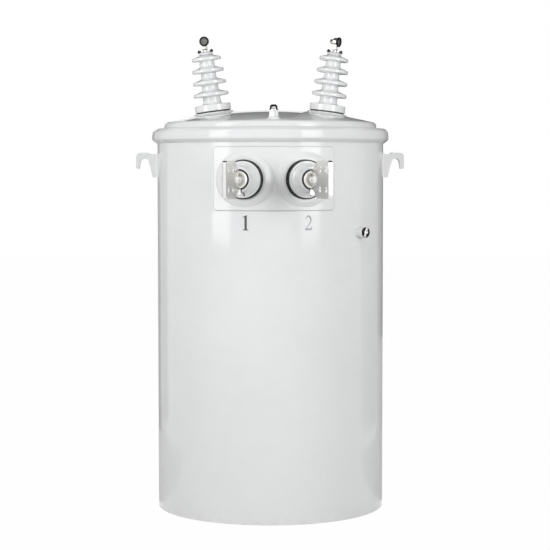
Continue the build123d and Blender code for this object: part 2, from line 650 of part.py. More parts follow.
def hanger(slot_top):
    """Pole bracket: a flat face with a slot open at the bottom, on two side webs."""
    low, high = slot_top - HANG_BELOW, slot_top + HANG_ABOVE
    face = Box(HANG_WIDE, HANG_T, high - low)
    body = Pos(0, HANG_FACE - HANG_T / 2, (low + high) / 2) * fillet(face.edges().filter_by(Axis.Y), 10.0)
    web = outline([
        (TANK_R - WELD_SINK, low + 12), (HANG_FACE - 1, low + 4, 6.0),
        (HANG_FACE - 1, high - 4, 6.0), (TANK_R - WELD_SINK, high - 12),
    ])
    web = extrude(Rot(0, 0, 90) * web, HANG_WEB / 2, both=True)
    for way in (-1, 1):
        body += Pos(way * (HANG_WIDE / 2 - HANG_WEB_IN), 0, 0) * web
    slot = Rot(90, 0, 0) * Cylinder(HANG_SLOT / 2, 40)
    slot += Pos(0, 0, -HANG_BELOW / 2) * Box(HANG_SLOT, 40, HANG_BELOW)
    body -= Pos(0, HANG_FACE, slot_top - HANG_SLOT / 2) * slot
    return body - rod(TANK_R, 0, RIM_TOP)


def relief_boss():
    low = TANK_R - 25
    boss = turned([
        (VALVE_HOLE_R, low), (VALVE_BOSS_R, low), (VALVE_BOSS_R, VALVE_BOSS_END, 1.5),
        (VALVE_HOLE_R, VALVE_BOSS_END),
    ])
    return outward(VALVE_ANGLE, VALVE_Z) * boss - rod(TANK_R, 0, RIM_TOP)


def relief_valve():
    """Threaded body through the wall, with a rimmed head and a stem in its hollow."""
    low, end = TANK_R - WALL + 0.5, VALVE_BOSS_END
    shank = VALVE_HOLE_R - THREAD_CLEAR
    body = turned([
        (0, low), (shank, low), (shank, end), (VALVE_R - 1.0, end), (VALVE_R, end + 1.2, 0.8),
        (VALVE_R, end + 5.6, 1.4), (VALVE_R - 2.2, end + 7.2, 0.8), (VALVE_R - 3.2, end + 6.0, 0.6),
        (4.2, end + 6.0, 0.8), (3.4, end + 9.0, 1.0), (0, end + 9.0),
    ])
    return outward(VALVE_ANGLE, VALVE_Z) * body


def ground_boss():
    bore = GROUND_BOLT_R + THREAD_CLEAR
    boss = turned([
        (bore, TANK_R - WELD_SINK), (GROUND_BOSS_R, TANK_R - WELD_SINK),
        (GROUND_BOSS_R, GROUND_END, 2.0), (bore, GROUND_END),
    ])
    return outward(GROUND_ANGLE, GROUND_Z) * boss - rod(TANK_R, 0, RIM_TOP)


def ground_bolt():
    bolt = rod(GROUND_BOLT_R, -GROUND_BOSS_OUT + 1, 0.5) + rod(12.5, 0, 2.5) + hex_head(19.0, 2.4, 11)
    return outward(GROUND_ANGLE, GROUND_Z) * Pos(0, 0, GROUND_END) * bolt


# ======================= write every node ==================================

def nodes():
    shapes = {
        "tank_wall": tank_wall(),
        "tank_bottom": tank_bottom(),
        "core_and_oil": core_and_oil(),
        "lid": lid(),
        "lid_gasket": lid_gasket(),
        "cover_band": cover_band(),
        "band_bolt": band_bolt(),
        "fill_coupling": fill_coupling(),
        "fill_plug": fill_plug(),
        "lv_plate": lv_plate(),
        "hanger_upper": hanger(HANG_TOP),
        "hanger_lower": hanger(HANG_TOP - HANG_PITCH),
        "relief_boss": relief_boss(),
        "relief_valve": relief_valve(),
        "ground_boss": ground_boss(),
        "ground_bolt": ground_bolt(),
    }
    makers = {
        "hv_pad": hv_pad, "hv_gasket": hv_gasket, "hv_porcelain": hv_porcelain,
        "hv_cap": hv_cap, "hv_terminal": hv_terminal, "hv_clamp": hv_clamp,
        "lv_collar": lv_collar, "lv_gasket": lv_gasket, "lv_porcelain": lv_porcelain,
        "lv_stud": lv_stud, "lv_spade": lv_spade, "lifting_lug": lifting_lug,
    }
    for name, make in makers.items():
        shapes[name + "_left"] = make(-1)
        shapes[name + "_right"] = make(1)
    return shapes


os.makedirs("parts", exist_ok=True)
for name, shape in nodes().items():
    export_step(shape, f"parts/{name}.step")
    box = shape.bounding_box()
    print(name, len(shape.solids()), [round(v, 1) for v in (*box.min, *box.max)])
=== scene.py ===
import json
import math

import bmesh
import bpy
from mathutils import Matrix, Vector


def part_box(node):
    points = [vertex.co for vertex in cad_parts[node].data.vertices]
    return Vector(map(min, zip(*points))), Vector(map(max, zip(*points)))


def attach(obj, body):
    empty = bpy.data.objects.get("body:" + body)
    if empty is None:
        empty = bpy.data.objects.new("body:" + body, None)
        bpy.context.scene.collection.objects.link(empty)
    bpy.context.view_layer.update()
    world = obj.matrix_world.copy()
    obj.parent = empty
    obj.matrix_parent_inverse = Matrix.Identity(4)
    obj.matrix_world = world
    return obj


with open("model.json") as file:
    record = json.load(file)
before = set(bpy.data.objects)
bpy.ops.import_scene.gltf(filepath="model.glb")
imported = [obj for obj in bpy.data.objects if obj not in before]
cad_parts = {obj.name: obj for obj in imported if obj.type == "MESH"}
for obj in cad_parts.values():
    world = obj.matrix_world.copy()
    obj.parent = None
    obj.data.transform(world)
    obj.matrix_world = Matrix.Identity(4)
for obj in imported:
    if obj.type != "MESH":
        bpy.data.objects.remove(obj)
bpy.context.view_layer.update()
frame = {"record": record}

# ---- camera ----------------------------------------------------------------------
# A long lens just under the clamp band and a little left of the front, so the
# dome is seen edge on and the foot slightly from above.
camera_azimuth = math.radians(-2.05)
camera_distance, camera_height = 4.2, 0.836
camera_pitch, camera_yaw, camera_roll = [math.radians(turn) for turn in (-3.586, -0.1586, -0.0348)]
lens = bpy.data.cameras.new("camera")
lens.lens, lens.sensor_width = 110.376, 36.0
camera = bpy.data.objects.new("camera", lens)
bpy.context.collection.objects.link(camera)
camera.location = (math.sin(camera_azimuth) * camera_distance,
                   -math.cos(camera_azimuth) * camera_distance, camera_height)
camera.rotation_euler = (Matrix.Rotation(camera_azimuth + camera_yaw, 4, "Z")
                         @ Matrix.Rotation(math.pi / 2 + camera_pitch, 4, "X")
                         @ Matrix.Rotation(camera_roll, 4, "Z")).to_euler()
bpy.context.scene.camera = camera
bpy.context.scene.view_settings.view_transform = "Standard"


# ---- studio ----------------------------------------------------------------------
# A white floor and white surroundings, two soft lamps in front and a weak one above.
# Cards that only the gloss shows: bright ones in front, grey ones at the sides and
# low down behind, dark ones above.
class Signal:
    """A shader socket; sums and products of signals add the Math nodes they need."""

    def __init__(self, tree, socket=None):
        self.tree, self.socket = tree, socket

    def node(self, kind, settings=(), sockets=(), out=0):
        """A new shader node: its type, then its settings, then what its sockets get."""
        made = self.tree.nodes.new("ShaderNode" + kind)
        for key, value in dict(settings).items():
            setattr(made, key, value)
        for key, value in dict(sockets).items():
            if isinstance(value, Signal):
                self.tree.links.new(value.socket, made.inputs[key])
            else:
                made.inputs[key].default_value = value
        return Signal(self.tree, made.outputs[out]) if made.outputs else None

    def maths(self, operation, first, second=0.0):
        return self.node("Math", {"operation": operation}, {0: first, 1: second})

    def __add__(self, other):
        return self.maths("ADD", self, other)

    def __radd__(self, other):
        return self.maths("ADD", other, self)

    def __sub__(self, other):
        return self.maths("SUBTRACT", self, other)

    def __rsub__(self, other):
        return self.maths("SUBTRACT", other, self)

    def __mul__(self, other):
        return self.maths("MULTIPLY", self, other)

    def __rmul__(self, other):
        return self.maths("MULTIPLY", other, self)

    def size(self):
        """The signal without its sign."""
        return self.maths("ABSOLUTE", self)

    def span(self, low, high, start=0.0, end=1.0):
        """Carry low..high over to start..end and stop at both ends."""
        return self.node("MapRange", {"clamp": True}, {0: self, 1: low, 2: high, 3: start, 4: end})

    def between(self, first, second):
        """A colour that goes from the first to the second as this signal goes from 0 to 1."""
        first, second = [c if isinstance(c, Signal) else (*c, 1.0) for c in (first, second)]
        return self.node("Mix", {"data_type": "RGBA"}, {0: self, 6: first, 7: second}, out=2)

    def part(self, place):
        """One of the three parts of a vector."""
        return self.node("SeparateXYZ", (), {0: self}, out=place)

    def noise(self, scale, detail, roughness=0.5):
        """Cloudy noise at this point; a larger scale gives smaller clouds."""
        return self.node("TexNoise", (), {"Vector": self, "Scale": scale, "Detail": detail,
                                          "Roughness": roughness})

    def bump(self, depth, under=None):
        """A normal that this signal raises by up to a depth, over another normal."""
        sockets = {"Strength": 1.0, "Distance": depth, "Height": self}
        if under is not None:
            sockets["Normal"] = under
        return self.node("Bump", (), sockets)

    def end(self, kind, socket):
        """Feed a node that has no output, such as the material's output."""
        self.node(kind, (), {socket: self})


def seen_or_mirrored(tree):
    """1 where a ray comes from the camera, a gloss or a glass."""
    start = Signal(tree)
    eye = start.node("LightPath", out="Is Camera Ray")
    gloss = start.node("LightPath", out="Is Glossy Ray")
    glass = start.node("LightPath", out="Is Transmission Ray")
    return eye.maths("MAXIMUM", eye, gloss.maths("MAXIMUM", gloss, glass))


world = bpy.data.worlds.new("studio")
bpy.context.scene.world = world
world.use_nodes = True
world.node_tree.nodes.clear()
seen = seen_or_mirrored(world.node_tree)
ambient = 0.37
brightness = seen * (1 - ambient) + ambient
sky = seen.node("Background", (), {"Color": (1, 1, 1, 1), "Strength": brightness})
sky.end("OutputWorld", "Surface")


def stage_sheet(name, width, tall, place, emission):
    """A flat sheet of the studio; emission is the share of it that shows as pure white."""
    sheet = bpy.data.meshes.new(name)
    shape = bmesh.new()
    bmesh.ops.create_grid(shape, x_segments=1, y_segments=1, size=0.5)
    bmesh.ops.scale(shape, vec=(width, tall, 1), verts=shape.verts)
    bmesh.ops.transform(shape, matrix=place, verts=shape.verts)
    shape.to_mesh(sheet)
    shape.free()
    thing = bpy.data.objects.new(name, sheet)
    bpy.context.collection.objects.link(thing)
    paint = bpy.data.materials.new(name)
    paint.use_nodes = True
    paint.node_tree.nodes.clear()
    shown = seen_or_mirrored(paint.node_tree)
    matt = shown.node("BsdfDiffuse", (), {"Color": (0.6, 0.6, 0.6, 1)})
    glow = shown.node("Emission", (), {"Color": (1, 1, 1, 1), "Strength": 1.0})
    mixed = shown.node("MixShader", (), {0: shown * emission, 1: matt, 2: glow})
    mixed.end("OutputMaterial", "Surface")
    sheet.materials.append(paint)
    return thing


floor_side, floor_white = 24.0, 0.985
stage_sheet("floor", floor_side, floor_side, Matrix.Identity(4), floor_white)


def gloss_card(name, place, width, tall, grey):
    """A card that only the gloss of the object shows."""
    card = stage_sheet(name, width, tall, place, 0.0)
    card.visible_camera = card.visible_diffuse = card.visible_shadow = False
    tree = card.data.materials[0].node_tree
    tree.nodes.clear()
    glow = Signal(tree).node("Emission", (), {"Color": (grey, grey, grey, 1), "Strength": 1.0})
    glow.end("OutputMaterial", "Surface")


def upright_card(name, azimuth, distance, low, high, width, grey):
    """A card that stands round the tank's axis; azimuth 0 is the front."""
    turn = Matrix.Rotation(math.radians(azimuth), 4, "Z")
    place = (turn @ Matrix.Translation((0, -distance, (low + high) / 2))
             @ Matrix.Rotation(math.pi / 2, 4, "X"))
    gloss_card(name, place, width, high - low, grey)


upright_card("card_behind", 180, distance=3.0, low=1.62, high=2.4, width=2.6, grey=0.0)
upright_card("card_right", 112, distance=1.5, low=0.0, high=1.9, width=0.8, grey=0.50)
upright_card("card_right_behind", 150, distance=1.3, low=0.3, high=1.9, width=1.1, grey=0.14)
upright_card("card_right_foot", 150, distance=1.34, low=0.0, high=0.34, width=1.1, grey=0.42)
upright_card("card_right_far", 157, distance=1.9, low=0.98, high=2.0, width=0.6, grey=0.02)
upright_card("card_left", -130, distance=1.6, low=0.0, high=1.9, width=0.5, grey=0.40)
upright_card("card_left_behind", -147, distance=1.3, low=0.0, high=1.9, width=0.36, grey=0.20)
upright_card("card_left_far", -166, distance=1.4, low=0.0, high=0.98, width=0.6, grey=0.56)
gloss_card("card_over", Matrix.Translation((0, 0.7, 2.9)), width=2.8, tall=3.2, grey=0.02)
for word, side, grey in (("right", 1, 0.48), ("left", -1, 0.54)):
    flat = Matrix.Translation((side * 0.71, 1.1, 0.0015))
    gloss_card("card_low_" + word, flat, width=0.84, tall=2.2, grey=grey)
upright_card("strip_left", -49.5, distance=2.5, low=0.57, high=2.7, width=0.80, grey=3.9)
upright_card("strip_right_low", 36.5, distance=2.5, low=0.57, high=0.66, width=0.84, grey=3.3)
upright_card("strip_right", 36.5, distance=2.5, low=0.66, high=2.7, width=0.84, grey=4.6)


def soft_lamp(name, azimuth, distance, height, width, tall, power):
    """An area lamp that looks slightly down at the tank's axis; azimuth 0 is the front."""
    drop = 0.25
    lamp = bpy.data.lights.new(name, "AREA")
    lamp.shape, lamp.size, lamp.size_y, lamp.energy = "RECTANGLE", width, tall, power
    holder = bpy.data.objects.new(name, lamp)
    holder.visible_glossy = False
    bpy.context.collection.objects.link(holder)
    turn = math.radians(azimuth)
    holder.location = (math.sin(turn) * distance, -math.cos(turn) * distance, height)
    aim = Vector((0, 0, height - drop)) - holder.location
    holder.rotation_euler = aim.to_track_quat("-Z", "Y").to_euler()


soft_lamp("lamp_left", -50, distance=2.65, height=1.38, width=0.9, tall=1.5, power=33.8)
soft_lamp("lamp_right", 40, distance=2.66, height=1.22, width=0.9, tall=1.5, power=28.8)
soft_lamp("lamp_over", -8, distance=2.2, height=3.0, width=2.4, tall=1.6, power=10)


# ---- tank ------------------------------------------------------------------------
# Rolled steel sheet with one upright seam at the back, closed below by a pressed
# pan, sprayed with light grey gloss enamel that has a slight orange peel.
def finish(name):
    """A new material, the signal of the point that it is asked about, and its shader."""
    made = bpy.data.materials.new(name)
    made.use_nodes = True
    point = Signal(made.node_tree).node("TexCoord", out="Object")
    return made, point, made.node_tree.nodes["Principled BSDF"]


def feed(shader, socket, signal):
    """Let a signal drive one socket of a shader."""
    signal.tree.links.new(signal.socket, shader.inputs[socket])


def dress(look, *nodes):
    """Give CAD nodes their finish."""
    for node in nodes:
        for place in bpy.data.objects[node].material_slots:
            place.material = look


dust_tone, soil_tone, black_tone = (0.50, 0.48, 0.44), (0.36, 0.33, 0.28), (0.02, 0.02, 0.02)
splash_top, wave_depth = 0.045, 0.00035


def enamel(name, colour, gloss=0.07, grime=0.0, dust=0.12, peel=0.00001, black=None):
    """Gloss paint: slow shifts of tone, orange peel, dust on top and splashes at the foot.
    black, where given, turns a point into the share of black there."""
    look, point, shader = finish(name)
    height, facing = point.part(2), point.node("NewGeometry", out="Normal").part(2)
    cloud = point.noise(4, 4, 0.6)
    patch = point.noise(38, 5, 0.65)
    ripple = point.noise(330, 1)
    deeper = tuple(c * 0.965 for c in colour)
    paler = tuple(min(1.0, c * 1.012) for c in colour)
    shade = (cloud * 0.7 + patch * 0.3).span(0.35, 0.65).between(deeper, paler)
    settled = facing.span(0.35, 0.95) * patch.span(0.38, 0.68) * dust
    splash = height.span(splash_top, 0.0) * patch.span(0.45, 0.62) * grime
    shade = settled.between(shade, dust_tone)
    shade = splash.between(shade, soil_tone)
    if black is not None:
        shade = black(point).between(shade, black_tone)
    feed(shader, "Base Color", shade)
    feed(shader, "Roughness", patch * 0.05 + gloss - 0.025 + settled * 1.2 + splash * 0.8)
    feed(shader, "Normal", ripple.bump(peel, under=cloud.bump(wave_depth)))
    return look


light_grey = (0.80, 0.805, 0.81)
tank_enamel = enamel("tank_enamel", light_grey, grime=0.12)
dress(tank_enamel, "tank_wall", "tank_bottom")
weld_enamel = enamel("weld_enamel", (0.78, 0.785, 0.79), gloss=0.16, peel=0.00012)


def place_piece(name, mesh, look, crease=35.0):
    """Smooth a finished mesh, give it its look, and let it ride on the transformer."""
    for face in mesh.polygons:
        face.use_smooth = True
    mesh.set_sharp_from_angle(angle=math.radians(crease))
    mesh.materials.clear()
    mesh.materials.append(look)
    piece = bpy.data.objects.new(name, mesh)
    bpy.context.collection.objects.link(piece)
    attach(piece, "root")


def weld_bead(name, routes, radius, look=weld_enamel):
    """Painted weld beads along routes, each a list of points and whether it is closed."""
    line = bpy.data.curves.new(name, "CURVE")
    line.dimensions, line.use_fill_caps = "3D", True
    line.bevel_depth, line.bevel_resolution = radius, 3
    for points, closed in routes:
        run = line.splines.new("POLY")
        run.points.add(len(points) - 1)
        for spot, point in zip(run.points, points):
            spot.co = (*point, 1.0)
        run.use_cyclic_u = closed
    holder = bpy.data.objects.new(name, line)
    mesh = bpy.data.meshes.new_from_object(holder)
    bpy.data.objects.remove(holder)
    mesh.name = name
    place_piece(name, mesh, look)


tank_radius = 0.280


def on_wall(angle, height, out=0.0):
    """A point of the tank's face; angle 0 is the front and grows to the right."""
    turn = math.radians(angle)
    reach = tank_radius + out
    return math.sin(turn) * reach, -math.cos(turn) * reach, height


seam_angle, seam_low, seam_high = -150, 0.004, 0.895
seam_sunk, seam_radius = 0.0018, 0.0032
seam = [on_wall(seam_angle, height, -seam_sunk) for height in (seam_low, seam_high)]
weld_bead("tank_seam", [(seam, False)], seam_radius)


# ---- lid -------------------------------------------------------------------------
# Dished steel cover with a rounded upright step, sprayed like the tank. It carries a
# welded coupling and two seats, each with a black ring painted round its gasket as the
# shade under the porcelain's flange.
def off_axis(point, spot, along):
    """How far a point is from the line that runs through spot."""
    reach = point.node("VectorMath", {"operation": "SUBTRACT"}, {0: point, 1: tuple(spot)})
    swept = point.node("VectorMath", {"operation": "CROSS_PRODUCT"}, {0: reach, 1: tuple(along)})
    return point.node("VectorMath", {"operation": "LENGTH"}, {0: swept}, out="Value")


def inside(spot, along, radius, soft):
    """Turns a point into 1 within a radius of an axis, and 0 outside it."""
    return lambda point: off_axis(point, spot, along).span(radius + soft, radius)


lid_enamel = enamel("lid_enamel", light_grey, gloss=0.03, dust=0.05)
dress(lid_enamel, "lid")
bushing_lean, gasket_radius, blur = math.radians(7.475), 0.0462, 0.0004
wire_holes = {mount["name"]: Vector(mount["pos_m"]) for mount in frame["record"]["mounts"]
              if mount["name"].startswith("hv_wire_hole")}
bushings = {}
for word, side in (("left", -1), ("right", 1)):
    bushing = (Matrix.Translation(wire_holes["hv_wire_hole_" + word])
               @ Matrix.Rotation(side * bushing_lean, 4, "Y"))
    bushings[word] = bushing
    # A black ring is painted round each gasket on its seat, as the shade under the porcelain's
    # flange.
    flange_shade = inside(bushing.translation, bushing.col[2][:3], gasket_radius, blur)
    pad_enamel = enamel("pad_enamel_" + word, light_grey, gloss=0.045, dust=0.05, black=flange_shade)
    dress(pad_enamel, "hv_pad_" + word)
coupling_enamel = enamel("coupling_enamel", (0.84, 0.845, 0.85), gloss=0.08, dust=0.05)
dress(coupling_enamel, "fill_coupling")


# ---- clamp band ------------------------------------------------------------------
# Rolled steel channel in the tank's enamel, drawn tight by one plated bolt through
# two ears at the back. The bolt's end shows its thread past the nut.
band_enamel = enamel("band_enamel", light_grey, gloss=0.03, dust=0.04)
dress(band_enamel, "cover_band")


def plated(name, colour, gloss, streak, painted_reflections=()):
    """Plating with faint turning lines and small stains. The last argument holds pairs: what
    turns a point into a share, and the colour of a painted reflection that has that share there."""
    look, point, shader = finish(name)
    stain = point.noise(160, 5, 0.7)
    lines = point.noise(1500, 1)
    shade = stain.span(0.42, 0.68).between(colour, tuple(c * 0.62 for c in colour))
    for share, tint in painted_reflections:
        shade = share(point).between(shade, tint)
    feed(shader, "Base Color", shade)
    feed(shader, "Metallic", stain.span(0.3, 0.8, 1.0, 0.9))
    feed(shader, "Roughness", stain * streak + lines * 0.06 + gloss)
    feed(shader, "Normal", lines.bump(0.00002))
    return look


zinc = plated("zinc_plate", (0.60, 0.60, 0.57), gloss=0.22, streak=0.2)
dress(zinc, "band_bolt", "ground_bolt")


def spun(name, profile, place, look, steps=32):
    """Spin a profile of radius and height about its axis into a closed mesh, then place it."""
    shape = bmesh.new()
    points = [shape.verts.new((radius, 0, height)) for radius, height in profile]
    edges = [shape.edges.new(pair) for pair in zip(points, points[1:])]
    bmesh.ops.spin(shape, geom=points + edges, axis=(0, 0, 1), cent=(0, 0, 0),
                   angle=math.tau, steps=steps, use_merge=True)
    bmesh.ops.remove_doubles(shape, verts=shape.verts, dist=0.000001)
    bmesh.ops.recalc_face_normals(shape, faces=shape.faces)
    bmesh.ops.transform(shape, matrix=place, verts=shape.verts)
    mesh = bpy.data.meshes.new(name)
    shape.to_mesh(mesh)
    shape.free()
    place_piece(name, mesh, look)


def thread(root, crest, low, high, pitch):
    """Profile of a closed threaded rod: ridges between two flat ends."""
    turns = round((high - low) / pitch)
    profile = [(0, low), (root, low)]
    for i in range(turns):
        profile += [(crest, low + (i + 0.5) * pitch), (root, low + (i + 1) * pitch)]
    bevel, end = 0.0006, low + turns * pitch + 0.0005
    return profile + [(root - bevel, end), (0, end)]


bolt_low, bolt_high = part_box("band_bolt")
bolt_middle = (bolt_low + bolt_high) / 2
bolt_root, bolt_crest, bolt_pitch = 0.0050, 0.00535, 0.0015
nut_face, thread_end = 0.0372, 0.0448
bolt_line = (Matrix.Translation((0, bolt_middle.y, bolt_middle.z))
             @ Matrix.Rotation(math.pi / 2, 4, "Y"))
spun("band_bolt_thread", thread(bolt_root, bolt_crest, nut_face, thread_end, bolt_pitch),
     bolt_line, zinc)


# ---- filling plug ----------------------------------------------------------------
# Brightly plated plug screwed into the coupling. All but the middle of its front is
# painted black, as the dark reflections in its plating.
def outside(spot, along, radius, soft):
    """Turns a point into 0 within a radius of an axis, and 1 farther out."""
    return lambda point: off_axis(point, spot, along).span(radius, radius + soft)


plug_low, plug_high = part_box("fill_plug")
plug_drop, plug_lit_radius, reflection_black = 0.0105, 0.0052, (0.03, 0.03, 0.03)
plug_face = Vector(((plug_low.x + plug_high.x) / 2, plug_low.y, plug_high.z - plug_drop))
# All but the middle of the plug's front is painted black, as dark reflection.
plug_dark_reflection = outside(plug_face, (0, 1, 0), plug_lit_radius, 2 * blur)
plug_plate = plated("plug_plate", (0.86, 0.86, 0.84), gloss=0.10, streak=0.05,
                    painted_reflections=[(plug_dark_reflection, reflection_black)])
dress(plug_plate, "fill_plug")


# ---- gaskets ---------------------------------------------------------------------
# Moulded black nitrile rubber, squeezed under the bushings and between lid and rim.
# It shines a little and holds a trace of grey dust.
rubber, point, shader = finish("nitrile_rubber")
bloom = point.noise(90, 5, 0.6)
grit = point.noise(900, 2)
dusty = bloom.span(0.45, 0.75)
feed(shader, "Base Color", dusty.between((0.012, 0.012, 0.014), (0.045, 0.045, 0.045)))
feed(shader, "Roughness", bloom * 0.2 + 0.16)
feed(shader, "Normal", grit.bump(0.00003))
dress(rubber, "lid_gasket", "hv_gasket_left", "hv_gasket_right",
      "lv_gasket_left", "lv_gasket_right")


# ---- porcelain -------------------------------------------------------------------
# Turned insulators of wet process porcelain under a light grey glaze that has
# pools and a few specks. They stand on the gaskets, and the low voltage ones have
# a hollow in front, whose shade, and that of one side of its slot, is painted black.
def porcelain(name, colour, hollow_shade=None):
    """Glaze with pools and specks. The last argument, where given, turns a point into the
    share of painted shade, in black, in a hollow."""
    look, point, shader = finish(name)
    pool = point.noise(22, 3)
    speck = point.node("TexVoronoi", (), {"Vector": point, "Scale": 240.0})
    dot = speck.span(0.10, 0.05) * pool.span(0.52, 0.62)
    thin, thick = tuple(c * 0.97 for c in colour), tuple(min(1.0, c * 1.02) for c in colour)
    shade = pool.span(0.3, 0.7).between(thin, thick)
    shade = (dot * 0.5).between(shade, speck_tone)
    if hollow_shade is not None:
        shade = hollow_shade(point).between(shade, black_tone)
    feed(shader, "Base Color", shade)
    feed(shader, "Roughness", pool * 0.04 + dot * 0.2 + 0.03)
    feed(shader, "Normal", pool.bump(0.0002))
    shader.inputs["IOR"].default_value = glaze_ior
    return look


sky_grey, speck_tone, glaze_ior = (0.82, 0.825, 0.83), (0.42, 0.36, 0.30), 1.8
dress(porcelain("sky_grey_glaze", sky_grey), "hv_porcelain_left", "hv_porcelain_right")
spade_height = 0.8125
spade_turns = {"left": math.radians(-14.5), "right": math.radians(14.5)}


def beside(point, turn):
    """How far a point is to the right of a low voltage bushing's axis."""
    return point.part(0) * math.cos(turn) + point.part(1) * math.sin(turn)


def painted_hollow_shade(turn):
    """Painted shade, in black, in the round hollow in the front of a low voltage porcelain and on
    the shaded side of its slot.
    """
    outward = (math.sin(turn), -math.cos(turn), 0)
    slot_inner, slot_outer, slot_foot, slot_top = 0.0044, 0.0078, 0.7738, 0.7935
    hollow_radius, soft = 0.0240, 0.0003

    def share(point):
        height, aside = point.part(2), beside(point, turn)
        slot = (aside.span(slot_inner, slot_inner + soft)
                * aside.span(slot_outer, slot_outer - soft)
                * height.span(slot_foot, slot_foot + 0.0004)
                * height.span(slot_top, slot_top - 0.0005))
        hollow = inside((0, 0, spade_height), outward, hollow_radius, soft)(point)
        return hollow.maths("MAXIMUM", hollow, slot)

    return share


for word, turn in spade_turns.items():
    hollow_shaded_glaze = porcelain("recessed_glaze_" + word, sky_grey, hollow_shade=painted_hollow_shade(turn))
    dress(hollow_shaded_glaze, "lv_porcelain_" + word)


# ---- high voltage caps and terminals ---------------------------------------------
# A painted cap sits on each porcelain; its two ears are drawn to it by small dark
# screws. The stem and eye are tinned bronze castings; the clamp is plated, with a black
# rim and a bright knob painted on as its reflections.
def casting(name, colour, gloss, shading=None):
    """Tinned cast bronze with sand texture; the last argument, where given, paints shade and
    highlights into its colour and changes its metal and roughness.
    """
    look, point, shader = finish(name)
    mottle = point.noise(70, 6, 0.75)
    sand = point.noise(1100, 3, 0.8)
    speckle = (sand * 0.75 + mottle * 0.25).span(0.38, 0.64)
    dark, pale = tuple(c * 0.92 for c in colour), tuple(min(1.0, c * 1.06) for c in colour)
    shade = speckle.between(dark, pale)
    metal = mottle.span(0.3, 0.75, 1.0, 0.92)
    rough = speckle * 0.05 + mottle * 0.05 + gloss
    if shading is not None:
        shade, metal, rough = shading(point, shade, metal, rough)
    feed(shader, "Base Color", shade)
    feed(shader, "Metallic", metal)
    feed(shader, "Roughness", rough)
    feed(shader, "Normal", sand.bump(0.00006))
    return look


def along_way(point, spot, way):
    """How far a point is from a spot in one direction."""
    reach = point.node("VectorMath", {"operation": "SUBTRACT"}, {0: point, 1: tuple(spot)})
    dot = {"operation": "DOT_PRODUCT"}
    return point.node("VectorMath", dot, {0: reach, 1: tuple(way)}, out="Value")


def near_spot(point, spot, radius):
    """1 within a radius of a spot, else 0."""
    away = point.node("VectorMath", {"operation": "DISTANCE"}, {0: point, 1: spot}, out="Value")
    return away.span(radius + 0.0003, radius)


tinned = casting("tinned_bronze", (0.66, 0.652, 0.63), gloss=0.12)
dress(tinned, "hv_terminal_left", "hv_terminal_right")
black_oxide = plated("black_oxide", (0.02, 0.02, 0.021), gloss=0.25, streak=0.1)
screw_head = [(0, -0.0036), (0.0030, -0.0036), (0.0038, -0.0028), (0.0038, 0.0030),
              (0.0030, 0.0042), (0, 0.0044)]
clamp_turns = {"left": 0.0, "right": math.radians(62)}
eye_above, cup_radius, knob_back = 0.016, 0.0074, 0.0052
ear_out, ear_down, ear_lean, ear_radius = 0.0148, 0.0084, math.radians(66), 0.0056
for word, bushing in bushings.items():
    clamp_way = bushing.to_3x3() @ Matrix.Rotation(clamp_turns[word], 3, "Z") @ Vector((0, -1, 0))
    eye = bushing @ Vector((0, 0, eye_above))
    # Painted reflections on the clamp: a black rim round the cup and a bright knob.
    rim = (outside(eye, clamp_way, cup_radius, 2 * blur), (0.025, 0.025, 0.025))
    knob = (lambda point: along_way(point, eye, clamp_way).span(-knob_back, -knob_back - 0.0006),
            (0.80, 0.80, 0.78))
    clamp_plate = plated("clamp_plate_" + word, (0.24, 0.238, 0.225), gloss=0.10, streak=0.3,
                         painted_reflections=[rim, knob])
    dress(clamp_plate, "hv_clamp_" + word)
    tips = []
    for way in (-1, 1):
        end = "inner" if (way > 0) == (word == "left") else "outer"
        ear = (bushing @ Matrix.Translation((way * ear_out, 0, -ear_down))
               @ Matrix.Rotation(way * ear_lean, 4, "Y"))
        spun(f"cap_screw_{word}_{end}", screw_head, ear, black_oxide, steps=20)
        tips.append(tuple(ear.translation))
    cap_enamel = enamel("cap_enamel_" + word, (0.72, 0.725, 0.73), gloss=0.12, dust=0.08,
                        black=lambda point: sum(near_spot(point, tip, ear_radius) for tip in tips))
    dress(cap_enamel, "hv_cap_" + word)


# ---- low voltage collars and spades ----------------------------------------------
# Round raised seats are welded into a curved plate on the front and painted. Each
# bushing ends in a tinned bronze spade, its flat pad upright, drilled for cable lugs.
# Shade round the gaskets and on the hubs, and highlights on the spades, are painted.
plate_enamel = enamel("plate_enamel", light_grey)
dress(plate_enamel, "lv_plate")


def painted_gasket_shade(turn, inward, wide):
    """Painted shade in black round a gasket, up to this wide on its inward side."""
    outward = (math.sin(turn), -math.cos(turn), 0)

    def share(point):
        edge = (beside(point, turn) * inward).span(0.0, 0.040, gasket_radius, gasket_radius + wide)
        return (off_axis(point, (0, 0, spade_height), outward) - edge).span(blur, 0.0)

    return share


for word, inward, wide in (("left", 1, 0.0010), ("right", -1, 0.0020)):
    gasket_shade = painted_gasket_shade(spade_turns[word], inward, wide)
    dress(enamel("collar_enamel_" + word, light_grey, black=gasket_shade), "lv_collar_" + word)
plate_low, plate_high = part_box("lv_plate")
plate_swing, plate_corner, corner_steps = 30.05, 0.008, 4
bead_out, bead_up, plate_bead = 0.0012, 0.0002, 0.0015
plate_inset = math.degrees(plate_corner / tank_radius)
plate_top, plate_foot = plate_high.z + bead_out, plate_low.z - bead_out
corners = ((1, plate_top - plate_corner, 0), (-1, plate_top - plate_corner, 90),
           (-1, plate_foot + plate_corner, 180), (1, plate_foot + plate_corner, 270))
edge = []
for sway, level, first in corners:
    for step in range(corner_steps + 1):
        sweep = math.radians(first + step * 90 / corner_steps)
        edge.append((sway * (plate_swing - plate_inset) + math.cos(sweep) * plate_inset,
                     level + math.sin(sweep) * plate_corner))
rounded = []
